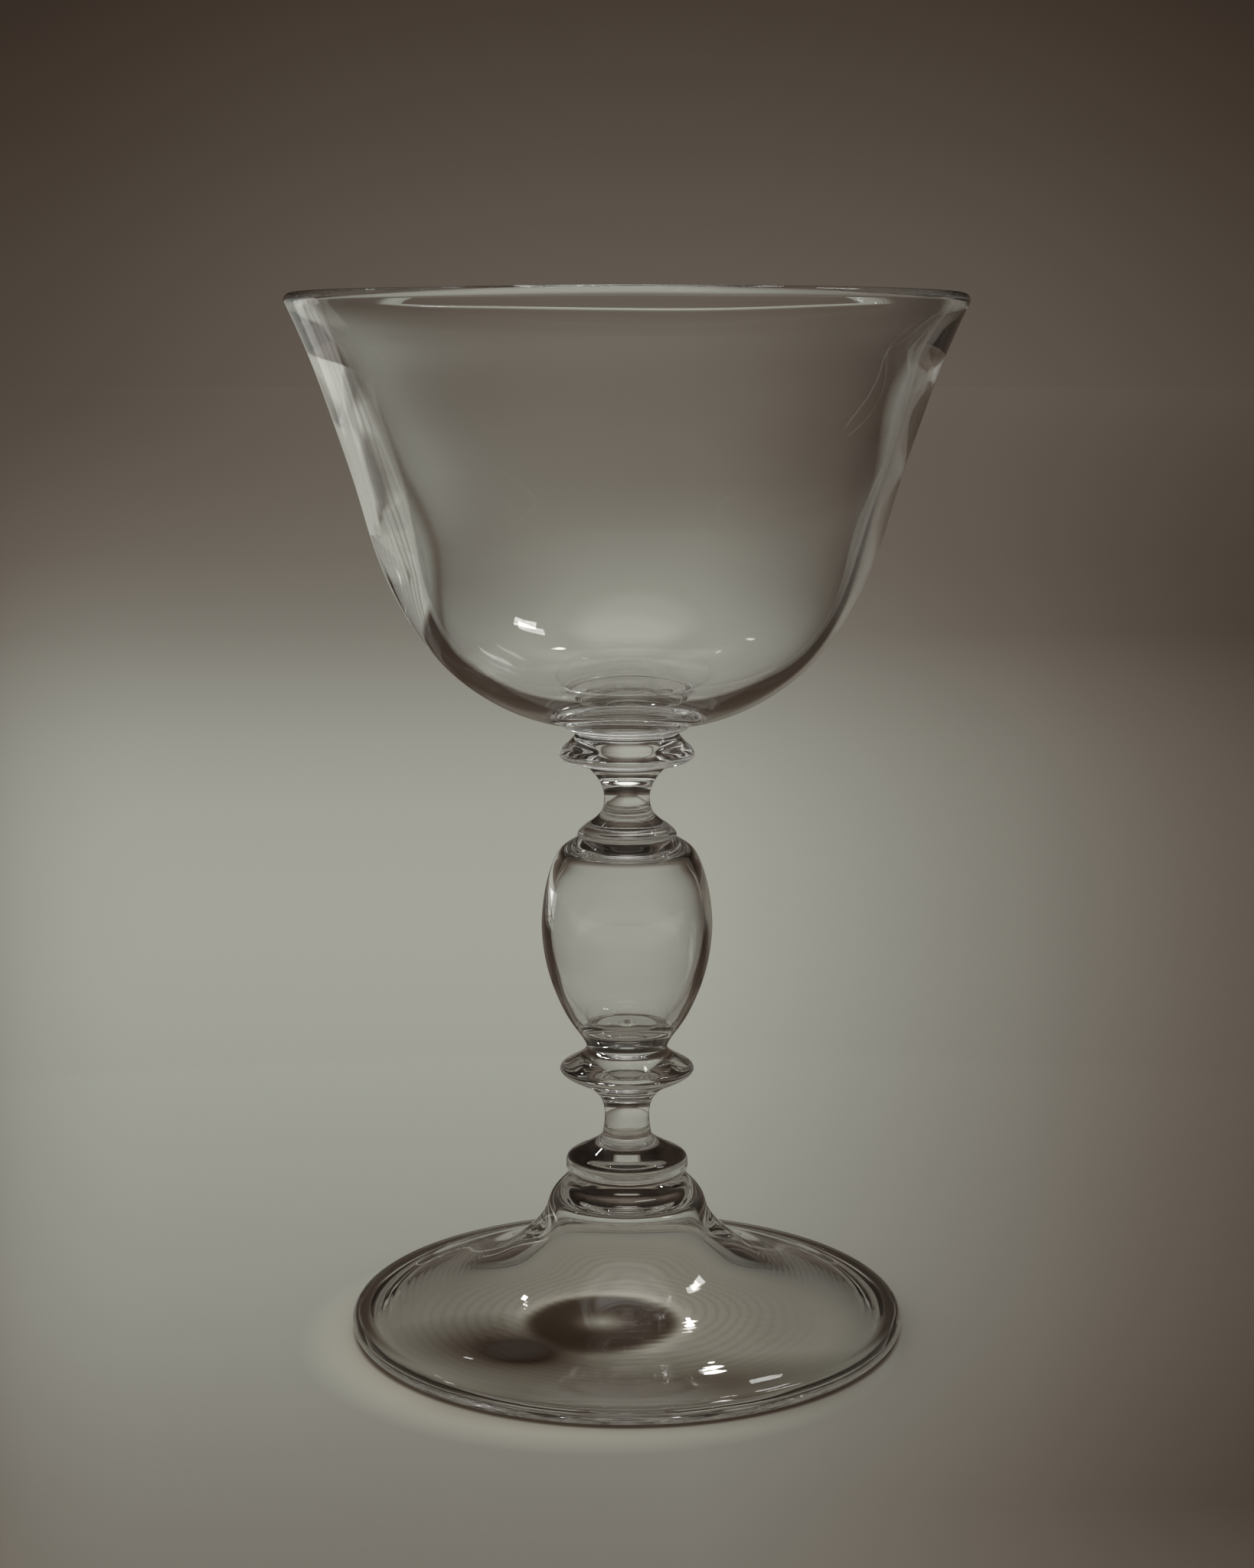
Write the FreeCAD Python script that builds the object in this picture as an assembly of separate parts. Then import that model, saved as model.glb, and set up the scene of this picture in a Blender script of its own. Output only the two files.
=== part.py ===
import FreeCAD, Part
import math
import os

# A hand blown aperitif glass: a flared bowl on a stem of small solid bits and one hollow knop,
# standing on a blown foot with a thick rounded edge. Each piece is gathered and shaped by
# itself and stuck hot to the next one, so the pieces meet face to face at round seams.
# Sizes are in millimetres. The glass stands on z = 0 and its axis is the z axis.
# Every piece is a half section in the xz plane, turned once round the axis.

# Foot: a blown cone that flares into a disc and rests on the ring under its rounded edge
foot_height = 21.7
foot_radius = 38.4
foot_edge = 3.1
foot_wall = 2.25
foot_crown = 3.4
foot_shoulder_radius = 10.7
foot_shoulder_drop = 3.5
rest_ring_width = 0.9
foot_seat_radius = 7.9

# Foot bead: the rounded bit between the foot and the lower neck
bead_height = 5.5
bead_radius = 8.45
bead_widest_height = 1.4

# Lower neck: a slim spool
lower_neck_height = 6.65
lower_neck_radius = 3.07
lower_neck_slimmest_height = 2.7
lower_neck_foot_radius = 3.37

# Lower merese: a flattened disc under the knop
lower_merese_height = 5.9
lower_merese_radius = 9.24
lower_merese_edge_height = 2.75
lower_merese_seat_radius = 4.9

# Hollow knop: a blown bubble with an upside down pear form, sealed at its floor
knop_height = 29.4
knop_radius = 11.73
knop_widest_height = 17.25
knop_wall = 1.15
knop_floor = 2.7
knop_roof = 2.1
knop_seat_radius = 5.5
seal_nib_radius = 1.3
seal_nib_height = 0.8

# Knop collar: the rounded bit that caps the knop
knop_collar_height = 3.2
knop_collar_radius = 6.8
knop_collar_widest_height = 0.35
knop_collar_seat_radius = 6.6

# Upper neck: the second spool
upper_neck_height = 6.6
upper_neck_radius = 3.12
upper_neck_slimmest_height = 2.25
upper_neck_seat_radius = 3.75

# Upper merese: the flattened disc under the bowl
upper_merese_height = 4.5
upper_merese_radius = 9.19
upper_merese_edge_height = 1.65
upper_merese_seat_radius = 5.6

# Bowl collar: the thin ring that seats the bowl
bowl_collar_height = 1.25
bowl_collar_edge_radius = 8.55
bowl_collar_edge_drop = 0.25
bowl_collar_waist_radius = 7.0
bowl_seat_radius = 8.35

# Bowl: round below, flared above, with a fire polished lip
bowl_height = 57.3
rim_radius = 45.1
bowl_wall = 3.0
bowl_base = 4.0
lip_thickness = 1.8
lip_lean_degrees = 26.0

# Seam heights, each piece standing on the one below
bead_base = foot_height
lower_neck_base = bead_base + bead_height
lower_merese_base = lower_neck_base + lower_neck_height
knop_base = lower_merese_base + lower_merese_height
knop_collar_base = knop_base + knop_height
upper_neck_base = knop_collar_base + knop_collar_height
upper_merese_base = upper_neck_base + upper_neck_height
bowl_collar_base = upper_merese_base + upper_merese_height
bowl_base_height = bowl_collar_base + bowl_collar_height

# Shares of the way from one named point of an outline to the next: first of the change in
# radius, then of the change in height. A second list, where there is one, gives the wall at
# the same points as shares of the named wall.
foot_flare_shares = (
    (0.26, 0.125), (0.47, 0.24), (0.62, 0.345), (0.74, 0.46),
    (0.83, 0.58), (0.90, 0.69), (0.95, 0.80), (0.98, 0.90),
)
foot_shoulder_shares = ((0.30, 0.38), (0.71, 0.73))
foot_wall_shares = (1.0, 1.0, 1.0, 1.0, 1.0, 0.92, 0.80, 0.75, 0.85)
foot_crown_flat_share = 0.62

bead_lower_shares = ((0.45, 0.21), (0.92, 0.60))
bead_upper_shares = ((0.04, 0.23), (0.18, 0.36), (0.38, 0.48), (0.60, 0.63), (0.84, 0.81))

lower_neck_lower_shares = ((0.50, 0.37),)
lower_neck_upper_shares = ((0.07, 0.33), (0.24, 0.58), (0.53, 0.78))

lower_merese_lower_shares = ((0.25, 0.22), (0.54, 0.44), (0.80, 0.66), (0.95, 0.85))
lower_merese_upper_shares = ((0.035, 0.12), (0.15, 0.23), (0.33, 0.35), (0.60, 0.53), (0.86, 0.75))

knop_lower_shares = (
    (0.10, 0.074), (0.29, 0.17), (0.50, 0.293), (0.66, 0.417),
    (0.79, 0.541), (0.90, 0.685), (0.975, 0.856),
)
knop_upper_shares = (
    (0.035, 0.206), (0.125, 0.445), (0.265, 0.655), (0.37, 0.765), (0.53, 0.867), (0.78, 0.945),
)
knop_wall_shares = (1.5, 1.3, 1.15, 1.08, 1.03, 1.0, 1.0, 1.0, 1.0, 1.05, 1.1, 1.15)
knop_floor_flat_share = 0.62
knop_roof_flat_share = 0.78
nib_slope_shares = ((0.5, 0.5),)

knop_collar_upper_shares = ((0.05, 0.13), (0.17, 0.27), (0.36, 0.45), (0.63, 0.64), (0.90, 0.88))

upper_neck_lower_shares = ((0.44, 0.19), (0.87, 0.56))
upper_neck_upper_shares = ((0.10, 0.32), (0.30, 0.56), (0.54, 0.745), (0.80, 0.905))

upper_merese_lower_shares = ((0.16, 0.12), (0.52, 0.25), (0.82, 0.50), (0.96, 0.76))
upper_merese_upper_shares = ((0.055, 0.14), (0.19, 0.31), (0.49, 0.52), (0.83, 0.80))

bowl_collar_shares = ((0.60, 0.55),)

bowl_shares = (
    (0.10, 0.013), (0.289, 0.0655), (0.449, 0.1475), (0.587, 0.27),
    (0.688, 0.416), (0.753, 0.562), (0.825, 0.708), (0.901, 0.85),
)
bowl_wall_shares = (1.27, 1.15, 1.09, 1.07, 1.06, 0.96, 0.89, 0.82)
bowl_floor_flat_share = 0.45

out_dir = "parts"


def spot(radius, height):
    """A point of a half section, or a direction in it: away from the axis, and up."""
    return FreeCAD.Vector(radius, 0, height)


def between(start, end, shares):
    """Points part of the way from start to end, by shares of the change in radius and height."""
    return [
        spot(start.x + across * (end.x - start.x), start.z + up * (end.z - start.z))
        for across, up in shares
    ]


def smooth(points, leave=None, arrive=None):
    """One smooth edge through the points, with set directions at its ends where given."""
    curve = Part.BSplineCurve()
    if leave and arrive:
        curve.interpolate(
            Points=points, InitialTangent=leave.normalize(), FinalTangent=arrive.normalize(), Scale=False
        )
    else:
        curve.interpolate(Points=points)
    return curve.toShape()


def straight(start, end):
    return Part.LineSegment(start, end).toShape()


def inset(points, walls):
    """The points of an outline that runs upwards, moved square to it into the glass, each by
    its wall. The two end points only give directions, so there are two fewer walls."""
    moved = []
    for before, here, after, wall in zip(points, points[1:], points[2:], walls):
        along = after - before
        inward = FreeCAD.Vector(-along.z, 0, along.x)
        moved.append(here + inward.normalize() * wall)
    return moved


def turned(edges):
    """The solid that a closed half section makes when it is turned round the axis."""
    section = Part.Face(Part.Wire(Part.sortEdges(edges)[0]))
    centre = FreeCAD.Vector(0, 0, 0)
    axis = FreeCAD.Vector(0, 0, 1)
    full_turn = math.degrees(math.tau)
    return section.revolve(centre, axis, full_turn)


def turned_bit(outline):
    """A solid bit whose outline runs up from its lower seam to its upper seam."""
    low = spot(0, outline[0].z)
    high = spot(0, outline[-1].z)
    edges = [
        straight(low, outline[0]),
        smooth(outline),
        straight(outline[-1], high),
        straight(high, low),
    ]
    return turned(edges)


def make_foot():
    """The hollow cone and disc. Its outside and its hollow both run up from the edge."""
    edge_round = foot_edge / 2
    edge_centre_radius = foot_radius - edge_round
    edge_top = spot(edge_centre_radius, foot_edge)
    edge_middle = spot(foot_radius, edge_round)
    edge_bottom = spot(edge_centre_radius, 0)
    ring_inside = spot(edge_centre_radius - rest_ring_width, 0)
    shoulder = spot(foot_shoulder_radius, foot_height - foot_shoulder_drop)
    seam = spot(foot_seat_radius, foot_height)
    flare = [edge_top] + between(edge_top, shoulder, foot_flare_shares) + [shoulder]
    top = between(shoulder, seam, foot_shoulder_shares) + [seam]

    walls = [foot_wall * share for share in foot_wall_shares]
    inside = inset(flare + top[:1], walls)
    crown = spot(0, foot_height - foot_crown)
    crown_edge = spot(foot_crown_flat_share * inside[-1].x, crown.z)
    level = spot(-1, 0)

    edges = [
        Part.Arc(edge_bottom, edge_middle, edge_top).toShape(),
        smooth(flare + top, level, seam - top[0]),
        straight(seam, spot(0, foot_height)),
        straight(spot(0, foot_height), crown),
        straight(crown, crown_edge),
        smooth([ring_inside] + inside + [crown_edge], inside[0] - ring_inside, level),
        straight(ring_inside, edge_bottom),
    ]
    return turned(edges)


def make_foot_bead():
    seam = spot(foot_seat_radius, bead_base)
    widest = spot(bead_radius, bead_base + bead_widest_height)
    top = spot(lower_neck_foot_radius, lower_neck_base)
    outline = [seam] + between(seam, widest, bead_lower_shares) + [widest]
    outline += between(widest, top, bead_upper_shares) + [top]
    return turned_bit(outline)


def make_lower_neck():
    seam = spot(lower_neck_foot_radius, lower_neck_base)
    slimmest = spot(lower_neck_radius, lower_neck_base + lower_neck_slimmest_height)
    top = spot(lower_merese_seat_radius, lower_merese_base)
    outline = [seam] + between(seam, slimmest, lower_neck_lower_shares) + [slimmest]
    outline += between(slimmest, top, lower_neck_upper_shares) + [top]
    return turned_bit(outline)


def make_lower_merese():
    seam = spot(lower_merese_seat_radius, lower_merese_base)
    edge = spot(lower_merese_radius, lower_merese_base + lower_merese_edge_height)
    top = spot(knop_seat_radius, knop_base)
    outline = [seam] + between(seam, edge, lower_merese_lower_shares) + [edge]
    outline += between(edge, top, lower_merese_upper_shares) + [top]
    return turned_bit(outline)


def make_hollow_knop():
    """The bubble: a pear outside, and a sealed hollow whose floor holds the seal's nib."""
    seam = spot(knop_seat_radius, knop_base)
    widest = spot(knop_radius, knop_base + knop_widest_height)
    top = spot(knop_collar_seat_radius, knop_collar_base)
    outline = [seam] + between(seam, widest, knop_lower_shares) + [widest]
    outline += between(widest, top, knop_upper_shares) + [top]

    walls = [knop_wall * share for share in knop_wall_shares]
    inside = inset(outline[1:-1], walls)
    floor = knop_base + knop_floor
    roof = knop_collar_base - knop_roof
    floor_edge = spot(knop_floor_flat_share * inside[0].x, floor)
    roof_edge = spot(knop_roof_flat_share * inside[-1].x, roof)
    outward = spot(1, 0)
    nib_top = spot(0, floor + seal_nib_height)
    nib_edge = spot(seal_nib_radius, floor)
    nib = [nib_top] + between(nib_top, nib_edge, nib_slope_shares) + [nib_edge]
    hollow = turned([
        smooth(nib, outward, outward),
        straight(nib_edge, floor_edge),
        smooth([floor_edge] + inside + [roof_edge], outward, -outward),
        straight(roof_edge, spot(0, roof)),
        straight(spot(0, roof), nib_top),
    ])
    return turned_bit(outline).cut(hollow)


def make_knop_collar():
    seam = spot(knop_collar_seat_radius, knop_collar_base)
    widest = spot(knop_collar_radius, knop_collar_base + knop_collar_widest_height)
    top = spot(upper_neck_seat_radius, upper_neck_base)
    outline = [seam, widest] + between(widest, top, knop_collar_upper_shares) + [top]
    return turned_bit(outline)


def make_upper_neck():
    seam = spot(upper_neck_seat_radius, upper_neck_base)
    slimmest = spot(upper_neck_radius, upper_neck_base + upper_neck_slimmest_height)
    top = spot(upper_merese_seat_radius, upper_merese_base)
    outline = [seam] + between(seam, slimmest, upper_neck_lower_shares) + [slimmest]
    outline += between(slimmest, top, upper_neck_upper_shares) + [top]
    return turned_bit(outline)


def make_upper_merese():
    seam = spot(upper_merese_seat_radius, upper_merese_base)
    edge = spot(upper_merese_radius, upper_merese_base + upper_merese_edge_height)
    top = spot(bowl_collar_waist_radius, bowl_collar_base)
    outline = [seam] + between(seam, edge, upper_merese_lower_shares) + [edge]
    outline += between(edge, top, upper_merese_upper_shares) + [top]
    return turned_bit(outline)


def make_bowl_collar():
    waist = spot(bowl_collar_waist_radius, bowl_collar_base)
    edge = spot(bowl_collar_edge_radius, bowl_base_height - bowl_collar_edge_drop)
    top = spot(bowl_seat_radius, bowl_base_height)
    outline = [waist] + between(waist, edge, bowl_collar_shares) + [edge, top]
    return turned_bit(outline)


def make_bowl():
    """The bowl: its outside runs up from the seam to the lip, its inside back to the floor."""
    lean = math.radians(lip_lean_degrees)
    rising = spot(math.sin(lean), math.cos(lean))
    outward = spot(math.cos(lean), -math.sin(lean))
    lip_round = lip_thickness / 2
    lip_centre = spot(rim_radius - lip_round, bowl_base_height + bowl_height - lip_round)
    lip_outside = lip_centre + outward * lip_round
    lip_top = lip_centre + rising * lip_round
    lip_inside = lip_centre - outward * lip_round

    seam = spot(bowl_seat_radius, bowl_base_height)
    outside = [seam] + between(seam, lip_outside, bowl_shares) + [lip_outside]
    walls = [bowl_wall * share for share in bowl_wall_shares]
    inside = inset(outside, walls)
    floor = spot(0, bowl_base_height + bowl_base)
    floor_edge = spot(bowl_floor_flat_share * inside[0].x, floor.z)
    level = spot(1, 0)
    belly = outside[1] - seam

    edges = [
        straight(floor, spot(0, bowl_base_height)),
        straight(spot(0, bowl_base_height), seam),
        smooth(outside, belly, rising),
        Part.Arc(lip_outside, lip_top, lip_inside).toShape(),
        smooth([floor_edge] + inside + [lip_inside], level, rising),
        straight(floor_edge, floor),
    ]
    return turned(edges)


makers = {
    "foot": make_foot,
    "foot_bead": make_foot_bead,
    "lower_neck": make_lower_neck,
    "lower_merese": make_lower_merese,
    "hollow_knop": make_hollow_knop,
    "knop_collar": make_knop_collar,
    "upper_neck": make_upper_neck,
    "upper_merese": make_upper_merese,
    "bowl_collar": make_bowl_collar,
    "bowl": make_bowl,
}

os.makedirs(out_dir, exist_ok=True)
for name, make in makers.items():
    piece = make()
    piece.exportStep(os.path.join(out_dir, name + ".step"))
    box = piece.optimalBoundingBox()
    print(
        f"{name}: valid {piece.isValid()}, {len(piece.Solids)} solid, {piece.Volume:.0f} mm3,"
        f" radius {box.XMax:.2f}, z {box.ZMin:.2f} to {box.ZMax:.2f}"
    )
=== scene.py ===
# %% [markdown]
# # A hand blown aperitif glass
# The glass is made of gathers of clear glass that are shaped one by one and stuck together hot. From
# the table up they are a hollow foot, a bead, a slim neck, a flattened disc, a hollow knop, a collar,
# a second neck, a second disc, a thin ring and the bowl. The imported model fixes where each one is.
# Here each gets a fine mesh and the look of clear glass, on a pale floor.

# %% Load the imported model
import math
import bpy
import numpy as np
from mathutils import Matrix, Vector


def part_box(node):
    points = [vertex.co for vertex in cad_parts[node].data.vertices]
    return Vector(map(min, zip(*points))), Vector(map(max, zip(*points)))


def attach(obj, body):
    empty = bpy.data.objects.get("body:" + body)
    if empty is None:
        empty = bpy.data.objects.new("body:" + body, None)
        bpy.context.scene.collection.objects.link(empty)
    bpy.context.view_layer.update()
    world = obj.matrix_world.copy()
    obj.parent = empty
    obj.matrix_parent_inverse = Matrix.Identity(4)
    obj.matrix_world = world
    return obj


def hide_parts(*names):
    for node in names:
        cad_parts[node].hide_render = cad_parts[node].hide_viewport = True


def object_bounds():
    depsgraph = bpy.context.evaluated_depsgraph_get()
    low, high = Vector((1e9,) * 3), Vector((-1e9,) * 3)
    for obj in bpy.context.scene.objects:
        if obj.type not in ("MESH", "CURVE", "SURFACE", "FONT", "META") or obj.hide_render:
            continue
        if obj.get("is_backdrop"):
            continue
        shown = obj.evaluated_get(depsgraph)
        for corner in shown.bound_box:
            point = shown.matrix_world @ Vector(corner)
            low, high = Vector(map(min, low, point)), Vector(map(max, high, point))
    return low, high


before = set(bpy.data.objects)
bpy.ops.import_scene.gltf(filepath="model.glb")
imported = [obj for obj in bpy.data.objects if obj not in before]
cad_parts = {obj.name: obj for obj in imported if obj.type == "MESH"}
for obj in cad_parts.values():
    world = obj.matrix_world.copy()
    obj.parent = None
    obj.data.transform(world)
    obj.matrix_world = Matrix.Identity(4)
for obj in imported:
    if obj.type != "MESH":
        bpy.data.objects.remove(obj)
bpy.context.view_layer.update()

print("pieces in the model:", sorted(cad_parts))

# %% [markdown]
# ## The camera
# The photograph was taken from just under the height of the rim, with a lens that is long for its
# frame, so the rim looks nearly flat and the foot shows as an open ellipse. The camera stands in
# front of the glass, tilted down by a few degrees.

# %% Set the camera
camera_distance = 0.3513
camera_height = 0.1332
camera_tilt_degrees = 9.19
camera_lens = 60
camera_frame = 36
camera_nearest = 0.01

bpy.ops.object.camera_add(
    location=(0, -camera_distance, camera_height),
    rotation=(math.radians(90 - camera_tilt_degrees), 0, 0),
)
camera = bpy.context.object
camera.data.lens = camera_lens
camera.data.sensor_width = camera_frame
camera.data.clip_start = camera_nearest
bpy.context.scene.camera = camera
bpy.context.scene.view_settings.view_transform = "Standard"
print("the camera is", round(camera_distance, 3), "m from the axis of the glass")

# %% [markdown]
# ## The sizes of the glass
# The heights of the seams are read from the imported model, so the pieces meet where they should. The
# radii and the walls are the ones that the model was made with, here in metres.

# %% Read the seam heights and name the sizes
seam_height = {name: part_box(name)[0].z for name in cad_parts}
rim_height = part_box("bowl")[1].z
for name in sorted(seam_height, key=seam_height.get):
    print(f"{name} starts at {1000 * seam_height[name]:.2f} mm")

foot_radius = 0.0384
foot_edge = 0.0031
foot_wall = 0.00225
foot_crown = 0.0034
foot_shoulder_radius = 0.0107
foot_shoulder_drop = 0.0035
rest_ring_width = 0.0009
foot_seat_radius = 0.0079

bead_radius = 0.00845
bead_widest_height = 0.0014

lower_neck_radius = 0.00307
lower_neck_slimmest_height = 0.0027
lower_neck_foot_radius = 0.00337

lower_merese_radius = 0.00924
lower_merese_edge_height = 0.00275
lower_merese_seat_radius = 0.0049

knop_radius = 0.01173
knop_widest_height = 0.01725
knop_wall = 0.00115
knop_floor = 0.0027
knop_roof = 0.0021
knop_seat_radius = 0.0055
seal_nib_radius = 0.0013
seal_nib_height = 0.0008

knop_collar_radius = 0.0068
knop_collar_widest_height = 0.00035
knop_collar_seat_radius = 0.0066

upper_neck_radius = 0.00312
upper_neck_slimmest_height = 0.00225
upper_neck_seat_radius = 0.00375

upper_merese_radius = 0.00919
upper_merese_edge_height = 0.00165
upper_merese_seat_radius = 0.0056

bowl_collar_edge_radius = 0.00855
bowl_collar_edge_drop = 0.00025
bowl_collar_waist_radius = 0.007
bowl_seat_radius = 0.00835

rim_radius = 0.0451
bowl_wall = 0.003
bowl_base = 0.004
lip_thickness = 0.0018
lip_lean_degrees = 26

# %% [markdown]
# ## Drawing an outline
# A glass that is turned at the bench is round, so each piece is half of its section, turned about the
# axis. A section could be drawn as many short straight lines, but clear glass shows every corner. A
# smooth line through a few well placed points is better: it has no corner, and it bends as little
# as it can. The points lie part of the way between named sizes.

# %% Helpers that place points
def spot(radius, height):
    return Vector((radius, 0, height))


def between(start, end, shares):
    return [
        spot(start.x + across * (end.x - start.x), start.z + up * (end.z - start.z))
        for across, up in shares
    ]


def inset(points, walls):
    """The points of an outline that runs upwards, each moved square to it into the glass."""
    moved = []
    for before, here, after, wall in zip(points, points[1:], points[2:], walls):
        along = after - before
        moved.append(here + spot(-along.z, along.x).normalized() * wall)
    return moved


# %% Helper that finds the slope of the smooth line at each point
def slopes(points, leave, arrive):
    places = np.array([(point.x, point.z) for point in points])
    steps = np.linalg.norm(np.diff(places, axis=0), axis=1)
    travelled = np.concatenate([[0], np.cumsum(steps)])
    count = len(points)
    weights = np.eye(count)
    wanted = np.zeros((count, 2))
    for i in range(1, count - 1):
        back, ahead = steps[i - 1], steps[i]
        weights[i, i - 1:i + 2] = ahead, 2 * (back + ahead), back
        wanted[i] = 3 * ahead * (places[i] - places[i - 1]) / back
        wanted[i] += 3 * back * (places[i + 1] - places[i]) / ahead
    degree = min(3, count - 1)
    for end, given in ((0, leave), (-1, arrive)):
        if given:
            direction = given.normalized()
            wanted[end] = direction.x, direction.z
        else:
            near = slice(0, degree + 1) if end == 0 else slice(count - degree - 1, count)
            fit = np.polyfit(travelled[near], places[near], degree)
            wanted[end] = [np.polyval(np.polyder(line), travelled[end]) for line in fit.T]
    return np.linalg.solve(weights, wanted), steps


# %% [markdown]
# The line itself is a Bezier curve. Its handles reach a third of the way to the next point along the
# slope, and then it is turned into a chain of short edges that the spin can use.

# %% Helpers that draw the stretches of an outline
span_steps = 12
arc_steps = 20


def chain_from(points, curved, leave=None, arrive=None):
    bpy.ops.curve.primitive_bezier_curve_add()
    curve = bpy.context.object
    curve.matrix_world.identity()
    spline = curve.data.splines[0]
    spline.bezier_points.add(len(points) - 2)
    spline.resolution_u = span_steps if curved else 1
    if curved:
        slope, steps = slopes(points, leave, arrive)
    for i, (knot, point) in enumerate(zip(spline.bezier_points, points)):
        knot.handle_left_type = knot.handle_right_type = "FREE"
        knot.co = knot.handle_left = knot.handle_right = point
        if curved:
            lean = Vector((slope[i][0], 0, slope[i][1])) / 3
            knot.handle_left = point - lean * steps[max(i - 1, 0)]
            knot.handle_right = point + lean * steps[min(i, len(steps) - 1)]
    bpy.ops.object.convert(target="MESH")
    return bpy.context.object


def smooth(points, leave=None, arrive=None):
    return chain_from(points, True, leave, arrive)


def straight(start, end):
    return chain_from([start, end], False)


def arc(centre, radius, first_degrees, last_degrees):
    """A round stretch, its angles counted from straight out, positive upwards."""
    angles = np.radians(np.linspace(first_degrees, last_degrees, arc_steps + 1))
    points = [centre + radius * spot(math.cos(angle), math.sin(angle)) for angle in angles]
    return chain_from(points, False)


# %% [markdown]
# ## From outline to solid glass
# The stretches are joined into one closed line and spun about the axis. The ends of the spin are
# merged, and so are the copies of a point on the axis. Where a piece is stuck to the next one, light
# passes the seam as if nothing were there, because hot glass joins hot glass without a gap. So the flat
# faces at a seam get a material of their own that does nothing to light, and the rest is clear glass.

# %% Helpers that spin an outline
spin_steps = 224
merge_gap = 1e-7


def select_only(*objects):
    bpy.ops.object.select_all(action="DESELECT")
    for chosen in objects:
        chosen.select_set(True)
    bpy.context.view_layer.objects.active = objects[0]


def merge_copies(facing_in=None):
    """Merges the copies of a point in the active mesh, and turns its faces if it has any yet."""
    bpy.ops.object.mode_set(mode="EDIT")
    bpy.ops.mesh.select_all(action="SELECT")
    bpy.ops.mesh.remove_doubles(threshold=merge_gap)
    if facing_in is not None:
        bpy.ops.mesh.normals_make_consistent(inside=facing_in)
    bpy.ops.object.mode_set(mode="OBJECT")


def spun(stretches, facing_in=False):
    select_only(*stretches)
    bpy.ops.object.join()
    piece = bpy.context.object
    merge_copies()
    bpy.ops.object.modifier_add(type="SCREW")
    turn = piece.modifiers[-1]
    turn.steps = turn.render_steps = spin_steps
    turn.use_merge_vertices = True
    turn.merge_threshold = merge_gap
    bpy.ops.object.modifier_apply(modifier=turn.name)
    merge_copies(facing_in)
    return piece


def closed_from(*surfaces):
    """One closed skin from open surfaces that share their edges."""
    select_only(*surfaces)
    bpy.ops.object.join()
    merge_copies(facing_in=False)
    return bpy.context.object


# %% [markdown]
# ## Clear glass
# Real clear glass is a surface that bends light going in and coming out, and throws a little back. A
# see-through paint would not bend anything, so the shader is the full one, with transmission.

# %% Helpers that build materials
def new_material(name):
    material = bpy.data.materials.new(name)
    material.use_nodes = True
    material.node_tree.nodes.clear()
    return material, material.node_tree.nodes, material.node_tree.links


def mapped(nodes, links, value, low, high):
    """The value as a share of the way from low to high, kept between nothing and one."""
    share = nodes.new("ShaderNodeMapRange")
    share.inputs["From Min"].default_value = low
    share.inputs["From Max"].default_value = high
    links.new(value, share.inputs["Value"])
    return share.outputs[0]


def calculated(nodes, links, operation, first, second):
    step = nodes.new("ShaderNodeMath")
    step.operation = operation
    for value, socket in ((first, step.inputs[0]), (second, step.inputs[1])):
        if isinstance(value, bpy.types.NodeSocket):
            links.new(value, socket)
        else:
            socket.default_value = value
    return step.outputs[0]


def bumped(nodes, links, height, depth, before=None):
    """A bent normal for a height between nothing and one that stands for a depth in metres."""
    bump = nodes.new("ShaderNodeBump")
    bump.inputs["Strength"].default_value = 1
    bump.inputs["Distance"].default_value = depth
    links.new(height, bump.inputs["Height"])
    if before:
        links.new(before, bump.inputs["Normal"])
    return bump.outputs[0]


# %% [markdown]
# Hand blown glass is never quite even. Broad soft swells run over it, stretched along the way that the
# glass was turned, and they make the edges of what is seen through it waver. On the foot there are faint
# rings too, which the tools left in patches.

# %% Helpers that make the glass uneven
swell_width = 0.011
swell_stretch = (1, 1, 0.45)
swell_depth = 0.00001
tool_mark_gap = 0.0009
tool_mark_depth = 0.000004
tool_mark_waver = 3
tool_mark_waver_detail = 0.3
tool_mark_patch = 0.012
tool_mark_patch_edge = (0.45, 0.65)
tool_mark_top = 0.012
tool_mark_full_share = 0.6


def swells(nodes, links, place):
    """The bent normal of the broad swells."""
    stretch = nodes.new("ShaderNodeMapping")
    stretch.inputs["Scale"].default_value = swell_stretch
    links.new(place, stretch.inputs["Vector"])
    noise = nodes.new("ShaderNodeTexNoise")
    noise.inputs["Scale"].default_value = 1 / swell_width
    noise.inputs["Detail"].default_value = 1
    links.new(stretch.outputs[0], noise.inputs["Vector"])
    return bumped(nodes, links, noise.outputs[0], swell_depth)


def tool_marks(nodes, links, place):
    """The height of the rings. They are there only in patches, and only low on the glass."""
    rings = nodes.new("ShaderNodeTexWave")
    rings.wave_type = "RINGS"
    rings.rings_direction = "Z"
    rings.inputs["Scale"].default_value = math.pi / (10 * tool_mark_gap)
    rings.inputs["Distortion"].default_value = tool_mark_waver
    rings.inputs["Detail Scale"].default_value = tool_mark_waver_detail
    links.new(place, rings.inputs["Vector"])
    patches = nodes.new("ShaderNodeTexNoise")
    patches.inputs["Scale"].default_value = 1 / tool_mark_patch
    links.new(place, patches.inputs["Vector"])
    height = nodes.new("ShaderNodeSeparateXYZ")
    links.new(place, height.inputs[0])
    in_patch = mapped(nodes, links, patches.outputs[0], *tool_mark_patch_edge)
    tool_mark_full = tool_mark_full_share * tool_mark_top
    low_down = mapped(nodes, links, height.outputs["Z"], tool_mark_top, tool_mark_full)
    strength = calculated(nodes, links, "MULTIPLY", in_patch, low_down)
    return calculated(nodes, links, "MULTIPLY", rings.outputs["Fac"], strength)


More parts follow.
